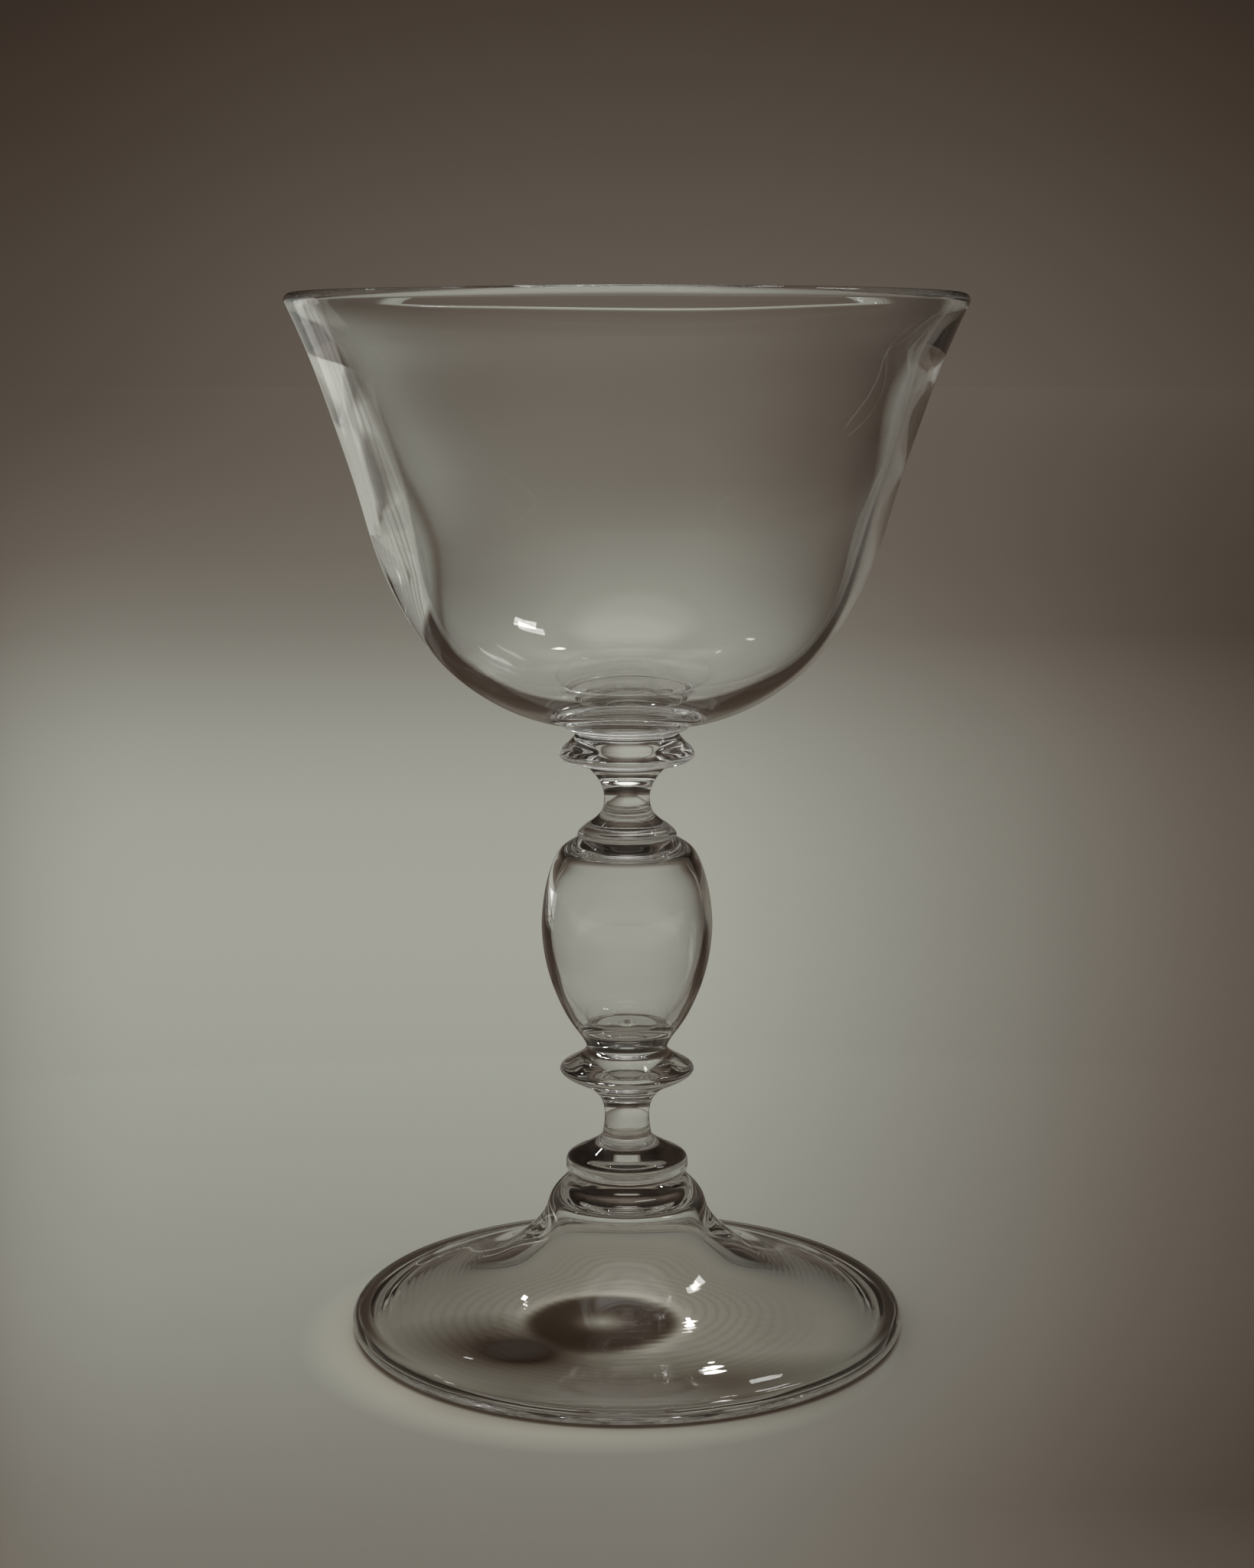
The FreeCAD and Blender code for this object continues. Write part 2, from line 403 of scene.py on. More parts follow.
# %% Make the glass and seam materials
glass_colour = (0.985, 0.985, 0.98, 1)
refractive_index = 1.5


def make_clear_glass():
    material, nodes, links = new_material("clear_glass")
    place = nodes.new("ShaderNodeTexCoord").outputs["Object"]
    uneven = swells(nodes, links, place)
    marked = bumped(nodes, links, tool_marks(nodes, links, place), tool_mark_depth, uneven)
    output = nodes.new("ShaderNodeOutputMaterial")
    glass = nodes.new("ShaderNodeBsdfPrincipled")
    links.new(marked, glass.inputs["Normal"])
    glass.inputs["Base Color"].default_value = glass_colour
    glass.inputs["Roughness"].default_value = 0
    glass.inputs["IOR"].default_value = refractive_index
    glass.inputs["Transmission Weight"].default_value = 1
    links.new(glass.outputs[0], output.inputs["Surface"])
    return material


def make_fused_seam():
    material, nodes, links = new_material("fused_seam")
    output = nodes.new("ShaderNodeOutputMaterial")
    passing = nodes.new("ShaderNodeBsdfTransparent")
    links.new(passing.outputs[0], output.inputs["Surface"])
    return material


clear_glass = make_clear_glass()
fused_seam = make_fused_seam()
print("materials of the glass:", clear_glass.name, "and", fused_seam.name)

# %% Helper that finishes a piece
level_enough = 1e-6
nearly_one = 0.9999


def finish_piece(piece, node, seams):
    """Names the piece, gives its seam faces their material, and lets it ride on the model."""
    piece.name = piece.data.name = node + "_glass"
    mesh = piece.data
    mesh.materials.clear()
    mesh.materials.append(clear_glass)
    mesh.materials.append(fused_seam)
    select_only(piece)
    bpy.ops.object.shade_smooth()
    bpy.ops.object.mode_set(mode="EDIT")
    bpy.ops.mesh.select_all(action="DESELECT")
    bpy.ops.mesh.select_mode(type="FACE")
    bpy.ops.object.mode_set(mode="OBJECT")
    centres, normals = np.zeros((2, len(mesh.polygons) * 3))
    mesh.polygons.foreach_get("center", centres)
    mesh.polygons.foreach_get("normal", normals)
    upright = abs(normals[2::3]) > nearly_one
    at_seam = [upright & (abs(centres[2::3] - seam) < level_enough) for seam in seams]
    mesh.polygons.foreach_set("select", np.any(at_seam, axis=0))
    bpy.ops.object.mode_set(mode="EDIT")
    piece.active_material_index = 1
    bpy.ops.object.material_slot_assign()
    bpy.ops.mesh.region_to_loop()
    bpy.ops.mesh.mark_sharp()
    bpy.ops.object.mode_set(mode="OBJECT")
    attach(piece, "root")
    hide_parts(node)
    print(node, len(mesh.polygons), "faces")


def solid_bit(node, outline):
    """A solid piece between two seams, from the outline that runs up between them."""
    low, high = outline[0], outline[-1]
    stretches = [straight(spot(0, low.z), low), smooth(outline), straight(high, spot(0, high.z))]
    finish_piece(spun(stretches), node, (low.z, high.z))


# %% [markdown]
# ## The foot
# The foot is a blown cone that was opened out into a disc, and its edge was left thick and round. It
# rests on the ring under that edge, and it is hollow below. Its inside follows its outside at the
# thickness of the wall, up to a flat crown.

# %% Model the foot
foot_flare_shares = (
    (0.26, 0.125), (0.47, 0.24), (0.62, 0.345), (0.74, 0.46),
    (0.83, 0.58), (0.90, 0.69), (0.95, 0.80), (0.98, 0.90),
)
foot_shoulder_shares = ((0.30, 0.38), (0.71, 0.73))
foot_wall_shares = (1.0, 1.0, 1.0, 1.0, 1.0, 0.92, 0.80, 0.75, 0.85)
foot_crown_flat_share = 0.62


def make_foot():
    height = seam_height["foot_bead"]
    edge_round = foot_edge / 2
    edge_centre = spot(foot_radius - edge_round, edge_round)
    edge_top = spot(edge_centre.x, foot_edge)
    ring_outside = spot(edge_centre.x, 0)
    ring_inside = spot(edge_centre.x - rest_ring_width, 0)
    shoulder = spot(foot_shoulder_radius, height - foot_shoulder_drop)
    seam = spot(foot_seat_radius, height)
    flare = [edge_top] + between(edge_top, shoulder, foot_flare_shares) + [shoulder]
    top = between(shoulder, seam, foot_shoulder_shares) + [seam]

    inside = inset(flare + top[:1], [foot_wall * share for share in foot_wall_shares])
    crown = spot(0, height - foot_crown)
    crown_edge = spot(foot_crown_flat_share * inside[-1].x, crown.z)
    stretches = [
        arc(edge_centre, edge_round, -90, 90),
        smooth(flare + top, spot(-1, 0), seam - top[0]),
        straight(seam, spot(0, height)),
        straight(crown, crown_edge),
        smooth([ring_inside] + inside + [crown_edge], inside[0] - ring_inside, spot(-1, 0)),
        straight(ring_inside, ring_outside),
    ]
    finish_piece(spun(stretches), "foot", (height,))


make_foot()

# %% [markdown]
# ## The small solid bits
# The bead, the necks, the discs, the collar and the thin ring are all solid. Each one is a short
# outline between two seams.

# %% Model the bead and the lower neck
bead_lower_shares = ((0.45, 0.21), (0.92, 0.60))
bead_upper_shares = ((0.04, 0.23), (0.18, 0.36), (0.38, 0.48), (0.60, 0.63), (0.84, 0.81))
lower_neck_lower_shares = ((0.50, 0.37),)
lower_neck_upper_shares = ((0.07, 0.33), (0.24, 0.58), (0.53, 0.78))


def make_bit(node, seam, widest, top, lower_shares, upper_shares):
    """A bit whose outline turns at one named point between its seams."""
    outline = [seam] + between(seam, widest, lower_shares) + [widest]
    outline += between(widest, top, upper_shares) + [top]
    solid_bit(node, outline)


make_bit(
    "foot_bead",
    spot(foot_seat_radius, seam_height["foot_bead"]),
    spot(bead_radius, seam_height["foot_bead"] + bead_widest_height),
    spot(lower_neck_foot_radius, seam_height["lower_neck"]),
    bead_lower_shares,
    bead_upper_shares,
)
make_bit(
    "lower_neck",
    spot(lower_neck_foot_radius, seam_height["lower_neck"]),
    spot(lower_neck_radius, seam_height["lower_neck"] + lower_neck_slimmest_height),
    spot(lower_merese_seat_radius, seam_height["lower_merese"]),
    lower_neck_lower_shares,
    lower_neck_upper_shares,
)

# %% Model the lower disc
lower_merese_lower_shares = ((0.25, 0.22), (0.54, 0.44), (0.80, 0.66), (0.95, 0.85))
lower_merese_upper_shares = ((0.035, 0.12), (0.15, 0.23), (0.33, 0.35), (0.60, 0.53), (0.86, 0.75))

make_bit(
    "lower_merese",
    spot(lower_merese_seat_radius, seam_height["lower_merese"]),
    spot(lower_merese_radius, seam_height["lower_merese"] + lower_merese_edge_height),
    spot(knop_seat_radius, seam_height["hollow_knop"]),
    lower_merese_lower_shares,
    lower_merese_upper_shares,
)

# %% [markdown]
# ## The hollow knop
# The knop is a bubble: a pear that stands on its narrow end, with a wall of just over a millimetre.
# Its roof is flat, its floor is thicker, and a small nib in the middle of the floor is left from
# sealing it. The hollow is a second closed shell, whose faces look into it.

# %% Model the hollow knop
knop_lower_shares = (
    (0.10, 0.074), (0.29, 0.17), (0.50, 0.293), (0.66, 0.417),
    (0.79, 0.541), (0.90, 0.685), (0.975, 0.856),
)
knop_upper_shares = (
    (0.035, 0.206), (0.125, 0.445), (0.265, 0.655), (0.37, 0.765), (0.53, 0.867), (0.78, 0.945),
)
knop_wall_shares = (1.5, 1.3, 1.15, 1.08, 1.03, 1.0, 1.0, 1.0, 1.0, 1.05, 1.1, 1.15)
knop_floor_flat_share = 0.62
knop_roof_flat_share = 0.78
nib_slope_shares = ((0.5, 0.5),)


def make_hollow_knop():
    base, top_height = seam_height["hollow_knop"], seam_height["knop_collar"]
    seam = spot(knop_seat_radius, base)
    widest = spot(knop_radius, base + knop_widest_height)
    top = spot(knop_collar_seat_radius, top_height)
    outline = [seam] + between(seam, widest, knop_lower_shares) + [widest]
    outline += between(widest, top, knop_upper_shares) + [top]

    inside = inset(outline[1:-1], [knop_wall * share for share in knop_wall_shares])
    floor, roof = base + knop_floor, top_height - knop_roof
    floor_edge = spot(knop_floor_flat_share * inside[0].x, floor)
    roof_edge = spot(knop_roof_flat_share * inside[-1].x, roof)
    nib_top = spot(0, floor + seal_nib_height)
    nib_edge = spot(seal_nib_radius, floor)
    nib = [nib_top] + between(nib_top, nib_edge, nib_slope_shares) + [nib_edge]
    hollow = spun([
        smooth(nib, spot(1, 0), spot(1, 0)),
        straight(nib_edge, floor_edge),
        smooth([floor_edge] + inside + [roof_edge], spot(1, 0), spot(-1, 0)),
        straight(roof_edge, spot(0, roof)),
    ], facing_in=True)
    skin = spun([straight(spot(0, base), seam), smooth(outline), straight(top, spot(0, top_height))])
    select_only(skin, hollow)
    bpy.ops.object.join()
    finish_piece(skin, "hollow_knop", (base, top_height))


make_hollow_knop()

# %% Model the collar, the upper neck, the upper disc and the thin ring
knop_collar_upper_shares = ((0.05, 0.13), (0.17, 0.27), (0.36, 0.45), (0.63, 0.64), (0.90, 0.88))
upper_neck_lower_shares = ((0.44, 0.19), (0.87, 0.56))
upper_neck_upper_shares = ((0.10, 0.32), (0.30, 0.56), (0.54, 0.745), (0.80, 0.905))
upper_merese_lower_shares = ((0.16, 0.12), (0.52, 0.25), (0.82, 0.50), (0.96, 0.76))
upper_merese_upper_shares = ((0.055, 0.14), (0.19, 0.31), (0.49, 0.52), (0.83, 0.80))
bowl_collar_shares = ((0.60, 0.55),)

make_bit(
    "knop_collar",
    spot(knop_collar_seat_radius, seam_height["knop_collar"]),
    spot(knop_collar_radius, seam_height["knop_collar"] + knop_collar_widest_height),
    spot(upper_neck_seat_radius, seam_height["upper_neck"]),
    (),
    knop_collar_upper_shares,
)
make_bit(
    "upper_neck",
    spot(upper_neck_seat_radius, seam_height["upper_neck"]),
    spot(upper_neck_radius, seam_height["upper_neck"] + upper_neck_slimmest_height),
    spot(upper_merese_seat_radius, seam_height["upper_merese"]),
    upper_neck_lower_shares,
    upper_neck_upper_shares,
)
make_bit(
    "upper_merese",
    spot(upper_merese_seat_radius, seam_height["upper_merese"]),
    spot(upper_merese_radius, seam_height["upper_merese"] + upper_merese_edge_height),
    spot(bowl_collar_waist_radius, seam_height["bowl_collar"]),
    upper_merese_lower_shares,
    upper_merese_upper_shares,
)
make_bit(
    "bowl_collar",
    spot(bowl_collar_waist_radius, seam_height["bowl_collar"]),
    spot(bowl_collar_edge_radius, seam_height["bowl"] - bowl_collar_edge_drop),
    spot(bowl_seat_radius, seam_height["bowl"]),
    bowl_collar_shares,
    (),
)

# %% [markdown]
# ## The bowl
# The bowl was blown round below and opened out above. Its lip was melted smooth in the flame, so it
# is a half round. The wall is thickest at the floor and thinnest at the lip.

# %% Draw the outlines of the bowl
bowl_shares = (
    (0.10, 0.013), (0.289, 0.0655), (0.449, 0.1475), (0.587, 0.27),
    (0.688, 0.416), (0.753, 0.562), (0.825, 0.708), (0.901, 0.85),
)
bowl_wall_shares = (1.27, 1.15, 1.09, 1.07, 1.06, 0.96, 0.89, 0.82)
bowl_floor_flat_share = 0.45


def bowl_outlines():
    """The stretches of the outside with its lip, and those of the inside."""
    base = seam_height["bowl"]
    lean = math.radians(lip_lean_degrees)
    rising = spot(math.sin(lean), math.cos(lean))
    outward = spot(math.cos(lean), -math.sin(lean))
    lip_round = lip_thickness / 2
    lip_centre = spot(rim_radius - lip_round, rim_height - lip_round)
    lip_outside = lip_centre + outward * lip_round
    lip_inside = lip_centre - outward * lip_round

    seam = spot(bowl_seat_radius, base)
    outside = [seam] + between(seam, lip_outside, bowl_shares) + [lip_outside]
    inside = inset(outside, [bowl_wall * share for share in bowl_wall_shares])
    floor = spot(0, base + bowl_base)
    floor_edge = spot(bowl_floor_flat_share * inside[0].x, floor.z)
    outer = [
        straight(spot(0, base), seam),
        smooth(outside, outside[1] - seam, rising),
        arc(lip_centre, lip_round, -lip_lean_degrees, 180 - lip_lean_degrees),
    ]
    inner = [
        smooth([floor_edge] + inside + [lip_inside], spot(1, 0), rising),
        straight(floor_edge, floor),
    ]
    return outer, inner


# %% [markdown]
# No blown wall is even. This one is a little thicker on the left, and towards the floor it is thicker in
# front and behind than at the sides. Both can be read in the photograph: the first from the dark lines
# at the two edges, the second from how far down the view through the middle is bent. Just under the lip
# the wall is thinner all round. So the inside is spun by itself, moved square to its surface by those
# small amounts, and then joined to the outside.

# %% Model the bowl with its uneven wall
fade_height = 0.006
blend_height = 0.004
blend_steps = 9
unevenness = (
    (0.0885, 0.00030, 0.00010, 0), (0.0925, 0.00062, 0.00020, 0), (0.097, 0.00048, 0.00045, 0),
    (0.104, 0.00012, 0.00065, 0), (0.111, -0.00022, 0.00088, 0), (0.119, -0.00018, 0.00080, 0),
    (0.127, -0.00025, 0.00045, -0.00010), (0.134, -0.00020, 0.00005, -0.00020),
)


def blended(height, values):
    """A value for each height of the list above, blended over a few millimetres so that nothing kinks."""
    heights = np.array(unevenness)[:, 0]
    shifts = np.linspace(-blend_height, blend_height, blend_steps)
    return np.mean([np.interp(height + shift, heights, values) for shift in shifts], axis=0)


def make_uneven(inside):
    """The list has a height, then what is added in front and behind, on the left and all round."""
    mesh = inside.data
    places, normals = np.zeros((2, len(mesh.vertices) * 3))
    mesh.vertices.foreach_get("co", places)
    mesh.vertices.foreach_get("normal", normals)
    places, normals = places.reshape(-1, 3), normals.reshape(-1, 3)
    deep, left, all_round = np.array(unevenness).T[1:]
    height = places[:, 2]
    radius = np.hypot(places[:, 0], places[:, 1]) + merge_gap
    rightward = places[:, 0] / radius
    in_depth = 1 - 2 * rightward ** 2
    into_hollow = np.where(normals[:, 2:] < 0, -normals, normals)
    extra = blended(height, deep) * in_depth - blended(height, left) * rightward
    extra += blended(height, all_round)
    below_lip = np.clip((rim_height - height) / fade_height, 0, 1)
    off_axis = np.clip(radius / bowl_seat_radius, 0, 1)
    extra *= below_lip * off_axis ** 2
    places += into_hollow * extra[:, None]
    mesh.vertices.foreach_set("co", places.ravel())
    print("the wall changes by", round(1000 * extra.min(), 2), "to", round(1000 * extra.max(), 2), "mm")


outer, inner = bowl_outlines()
inside = spun(inner)
make_uneven(inside)
bowl = closed_from(spun(outer), inside)

# %% [markdown]
# The lip isn't quite level either. It sags a little where it was softest in the flame, most of all at the
# back on the left.

# %% Let the lip sag
sag_height = 0.012
lip_sags = (
    (133, 15, 0.00055), (78, 18, 0.00022), (20, 25, 0.00018), (-120, 22, 0.00012), (-75, 9, 0.00008),
)


def sag_lip(glass):
    """Each sag has a middle and a half width, both in degrees about the axis, and a depth in metres."""
    places = np.zeros(len(glass.data.vertices) * 3)
    glass.data.vertices.foreach_get("co", places)
    places = places.reshape(-1, 3)
    angle = np.degrees(np.arctan2(places[:, 1], places[:, 0]))
    near_lip = np.clip(1 - (rim_height - places[:, 2]) / sag_height, 0, 1) ** 2
    for middle, half_width, depth in lip_sags:
        away = (angle - middle + 180) % 360 - 180
        places[:, 2] -= near_lip * depth * np.exp(-(away / half_width) ** 2)
    glass.data.vertices.foreach_set("co", places.ravel())


sag_lip(bowl)
finish_piece(bowl, "bowl", (seam_height["bowl"],))

# %% [markdown]
# ## The floor
# The glass stands on a pale sheet. Clear glass has no colour of its own: all that can be seen of it is
# what it bends into view. On an evenly pale floor it would all but vanish. So a pool of light is painted on
# the sheet: it is pale around the glass and behind it, in a fan that opens to the back, with painted shade
# in front of the glass, far behind it and towards the right. To both sides it is dark, but only on paths
# that the glass has mirrored: a painted reflection. Seen directly, or through the glass, it is plain and
# pale there too. The tones are laid as plain brightness first. A last step tints them: the darker they are,
# the warmer.

# %% Helpers that lay tones
sepia_stops = [
    (0, (0.0, 0.0, 0.0)), (0.034, (0.048, 0.034, 0.025)), (0.065, (0.083, 0.065, 0.050)),
    (0.10, (0.122, 0.10, 0.080)), (0.14, (0.161, 0.14, 0.114)), (0.22, (0.231, 0.22, 0.187)),
    (0.32, (0.32, 0.32, 0.276)), (0.40, (0.40, 0.40, 0.358)), (1, (1.0, 1.0, 0.96)),
]


def run_of_colours(nodes, links, value, low, high, stops, run):
    """Colours with stops at places that are counted in the units of the value."""
    ramp = nodes.new("ShaderNodeValToRGB")
    ramp.color_ramp.interpolation = run
    elements = ramp.color_ramp.elements
    while len(elements) < len(stops):
        elements.new(0.5)
    for element, (position, colour) in zip(elements, sorted(stops)):
        element.position = (position - low) / (high - low)
        element.color = (*colour, 1)
    links.new(mapped(nodes, links, value, low, high), ramp.inputs["Fac"])
    return ramp.outputs["Color"]


def tones(nodes, links, value, low, high, stops, run="B_SPLINE"):
    greys = [(position, (tone, tone, tone)) for position, tone in stops]
    return run_of_colours(nodes, links, value, low, high, greys, run)


def tinted(nodes, links, tone):
    return run_of_colours(nodes, links, tone, 0, 1, sepia_stops, "LINEAR")


def mixed(nodes, links, under, over, cover):
    """Lays one tone over another. Each of the three is a number or a value from the nodes."""
    mix = nodes.new("ShaderNodeMix")
    for value, socket in ((cover, mix.inputs["Factor"]), (under, mix.inputs[2]), (over, mix.inputs[3])):
        if isinstance(value, bpy.types.NodeSocket):
            links.new(value, socket)
        else:
            socket.default_value = value
    return mix.outputs[0]


def soft_ellipse(nodes, links, centre, reach, turn_degrees=0):
    """A value that is one at the centre and falls evenly to nothing at the reach."""
    place = nodes.new("ShaderNodeTexCoord")
    fit = nodes.new("ShaderNodeMapping")
    fit.vector_type = "TEXTURE"
    fit.inputs["Location"].default_value = (*centre, 0)
    fit.inputs["Rotation"].default_value = (0, 0, math.radians(turn_degrees))
    fit.inputs["Scale"].default_value = (*reach, 1)
    fall = nodes.new("ShaderNodeTexGradient")
    fall.gradient_type = "SPHERICAL"
    links.new(place.outputs["Object"], fit.inputs["Vector"])
    links.new(fit.outputs[0], fall.inputs["Vector"])
    return fall.outputs["Fac"]


# %% Make the sheet
floor_radius = 14.0
air_gap = 0.00004

bpy.ops.mesh.primitive_circle_add(
    vertices=128, radius=floor_radius, fill_type="NGON", location=(0, 0, -air_gap),
)
floor = bpy.context.object
floor.name = "pale_floor"
floor_paint, nodes, links = new_material("pale_floor")
place = nodes.new("ShaderNodeTexCoord").outputs["Object"]
split = nodes.new("ShaderNodeSeparateXYZ")
links.new(place, split.inputs[0])
across, back = split.outputs["X"], split.outputs["Y"]
path = nodes.new("ShaderNodeLightPath")
mirrored = calculated(nodes, links, "GREATER_THAN", path.outputs["Glossy Depth"], 0.5)
mirrored_twice = calculated(nodes, links, "GREATER_THAN", path.outputs["Glossy Depth"], 1.5)
print("the sheet is", 2 * floor_radius, "m wide and", round(1000 * air_gap, 3), "mm below the glass")

# %% [markdown]
# From front to back the sheet has one run of painted light and shade. Across it has two, one for near the
# glass and one for far behind it. They are counted along the fan, where about 0.24 is the edge of the
# picture.

# %% Lay the tones of the sheet
fan_point = 0.373
narrowest_fan = 0.14
depth_stops = [
    (-0.45, 0.36), (-0.22, 0.38), (-0.12, 0.14), (-0.06, 0.193), (0.0, 0.307), (0.10, 0.35), (0.22, 0.39),
    (0.42, 0.377), (0.65, 0.302), (0.95, 0.184), (1.5, 0.15), (2.6, 0.137), (4.5, 0.134),
]
near_sides = [
    (-0.36, 0.035), (-0.265, 0.055), (-0.24, 0.89), (-0.20, 0.95), (-0.09, 1.18), (0.03, 1.06),
    (0.15, 0.48), (0.24, 0.245), (0.29, 0.08), (0.40, 0.035),
]
far_sides = [
    (-0.5, 0.40), (-0.23, 0.44), (-0.11, 0.88), (0.03, 0.97), (0.14, 0.81), (0.24, 0.44), (0.5, 0.38),
]
depth_range = (-0.8, 4.8)
side_range = (-0.6, 0.6)
near_to_far = (0.10, 0.015)
in_front = (-0.16, -0.06)
beside_picture = (0.245, 0.32)
plain_tone = 0.36

painted_light_by_depth = tones(nodes, links, back, *depth_range, depth_stops)
from_fan_point = calculated(nodes, links, "ADD", back, fan_point)
opening = calculated(nodes, links, "MAXIMUM", from_fan_point, narrowest_fan)
along_fan = calculated(nodes, links, "DIVIDE", across, opening)
near_side = tones(nodes, links, along_fan, *side_range, near_sides)
far_side = tones(nodes, links, along_fan, *side_range, far_sides)
from_camera = calculated(nodes, links, "ADD", back, camera_distance)
drop = calculated(nodes, links, "DIVIDE", camera_height, from_camera)
side = mixed(nodes, links, near_side, far_side, mapped(nodes, links, drop, *near_to_far))
side = mixed(nodes, links, 1.0, side, mapped(nodes, links, back, *in_front))
tone = calculated(nodes, links, "MULTIPLY", painted_light_by_depth, side)

from_fan_middle = calculated(nodes, links, "ABSOLUTE", along_fan, 0.0)
beside = mapped(nodes, links, from_fan_middle, *beside_picture)
plain = calculated(nodes, links, "MULTIPLY", beside, mapped(nodes, links, mirrored, 1, 0))
tone = mixed(nodes, links, tone, plain_tone, plain)
print("the sheet has", len(depth_stops), "tones from front to back")

# %% [markdown]
# Under the foot is painted what is seen through it: a painted shadow spot with a painted bright edge and
# middle of focused light, two soft painted shadows, and faint painted rings of light and shade from the
# tool marks.
# Around them the floor is painted brighter, to make up for the light that the glass takes from it. Close
# under the thick edge, where hardly any light comes, there is a thin dark ring of painted shade.

# %% Paint the place under the foot
under_centre = (-0.0035, -0.0045)
under_reach = 0.042
painted_under_foot_stops = [
    (0.042, 0.475), (0.030, 0.405), (0.020, 0.395), (0.0140, 0.42), (0.0126, 0.525), (0.0114, 0.60),
    (0.0102, 0.085), (0.0088, 0.045), (0.0048, 0.050), (0.0026, 0.11), (0.0, 0.53),
]
soft_shades = (
    ((-0.0148, -0.0140), (0.0190, 0.0140), -16, 0.030),
    ((0.006, -0.027), (0.036, 0.013), 4, 0.162),
)
shade_full_share = 0.75
under_full_share = 0.25
ripple_gap = 0.0016
ripple_waver = 4
ripple_waver_detail = 0.4
ripple_stops = [(0, 0.83), (1, 1.12)]
ripples_between = [(0.030, 0), (0.021, 1), (0.014, 1), (0.011, 0)]
edge_reach = 0.040
edge_ring = [(0.0385, 1), (0.0379, 0.22), (0.0362, 0.22), (0.0352, 1)]


def by_radius(stops, reach):
    """The stops for a soft circle, from radii in metres."""
    return [(1 - radius / reach, tone) for radius, tone in stops]


under = soft_ellipse(nodes, links, under_centre, (under_reach, under_reach))
painted_under_foot_tone = tones(nodes, links, under, 0, 1, by_radius(painted_under_foot_stops, under_reach))
for centre, reach, turn_degrees, shade_tone in soft_shades:
    shade = soft_ellipse(nodes, links, centre, reach, turn_degrees)
    shade = mapped(nodes, links, shade, 0, shade_full_share)
    painted_under_foot_tone = mixed(nodes, links, painted_under_foot_tone, shade_tone, shade)
ripples = nodes.new("ShaderNodeTexWave")
ripples.wave_type = "RINGS"
ripples.rings_direction = "Z"
ripples.inputs["Scale"].default_value = math.pi / (10 * ripple_gap)
ripples.inputs["Distortion"].default_value = ripple_waver
ripples.inputs["Detail Scale"].default_value = ripple_waver_detail
links.new(place, ripples.inputs["Vector"])
rippled = tones(nodes, links, ripples.outputs["Fac"], 0, 1, ripple_stops)
where_rippled = tones(nodes, links, under, 0, 1, by_radius(ripples_between, under_reach))
rippled = mixed(nodes, links, 1.0, rippled, where_rippled)
painted_under_foot_tone = calculated(nodes, links, "MULTIPLY", painted_under_foot_tone, rippled)
covered = mapped(nodes, links, under, 0, under_full_share)
tone = mixed(nodes, links, tone, painted_under_foot_tone, covered)

edge = soft_ellipse(nodes, links, (0, 0), (edge_reach, edge_reach))
edge_tone = tones(nodes, links, edge, 0, 1, by_radius(edge_ring, edge_reach), "LINEAR")
tone = calculated(nodes, links, "MULTIPLY", tone, edge_tone)
print("the place under the foot is", round(2000 * under_reach, 1), "mm wide")

# %% [markdown]
# A photographer draws the edges of clear glass with dark and pale cards that stand just outside the
# picture. The glass mirrors them inside its walls, and the camera sees them only there. Here the cards are
# painted in the floor, and they show only on paths that were mirrored on their way. The dark one
# begins on two slanting lines that part behind the glass. A pale one stands on the left, with fine gaps
# across it. Paths that were mirrored more than once find one more pale card on the right.

# %% Paint what the walls of the glass mirror
black, dark, grey, pale, white = 0.022, 0.036, 0.168, 0.42, 0.95
card_slant = 0.66
behind_cards = (0.0, 0.012)
cards_from = (0.058, 0.068)
near_to_middle = (0.12, 0.17)
middle_to_far = (0.40, 0.50)
left_card = (-0.2, -0.22)
right_card = (0.13, 0.16)
near_cards = [
    (-0.37, white), (-0.355, black), (-0.335, black), (-0.32, pale), (-0.235, pale), (-0.215, black),
    (-0.05, dark), (0.03, dark), (0.12, black),
]
middle_cards = [
    (-0.42, white), (-0.40, pale), (-0.235, pale), (-0.215, dark), (-0.07, dark), (-0.03, grey),
    (0.12, grey), (0.19, 0.175), (0.25, 0.13), (0.29, 0.095), (0.34, 0.065), (0.45, 0.09),
]
far_cards = [(-0.17, pale), (-0.06, grey), (0.10, grey), (0.3, 0.08), (0.5, 0.06)]
gap_range = (0.2, 0.6)
gap_half_width = 0.014
gap_share = 0.6
gap_stops = [(end, 1.0) for end in gap_range]
for middle in (0.25, 0.30, 0.37, 0.465):
    gap_stops += [(middle - gap_half_width, 1.0), (middle, gap_share), (middle + gap_half_width, 1.0)]

from_middle = calculated(nodes, links, "ABSOLUTE", across, 0.0)
slanting = calculated(nodes, links, "MULTIPLY", from_middle, card_slant)
behind_slant = calculated(nodes, links, "SUBTRACT", back, slanting)
near_tone, middle_tone, far_tone = [
    tones(nodes, links, across, *side_range, stops, "LINEAR")
    for stops in (near_cards, middle_cards, far_cards)
]
cards = mixed(nodes, links, near_tone, middle_tone, mapped(nodes, links, behind_slant, *near_to_middle))
cards = mixed(nodes, links, cards, far_tone, mapped(nodes, links, behind_slant, *middle_to_far))
gaps = tones(nodes, links, back, *gap_range, gap_stops, "LINEAR")
gaps = mixed(nodes, links, 1.0, gaps, mapped(nodes, links, across, *left_card))
cards = calculated(nodes, links, "MULTIPLY", cards, gaps)

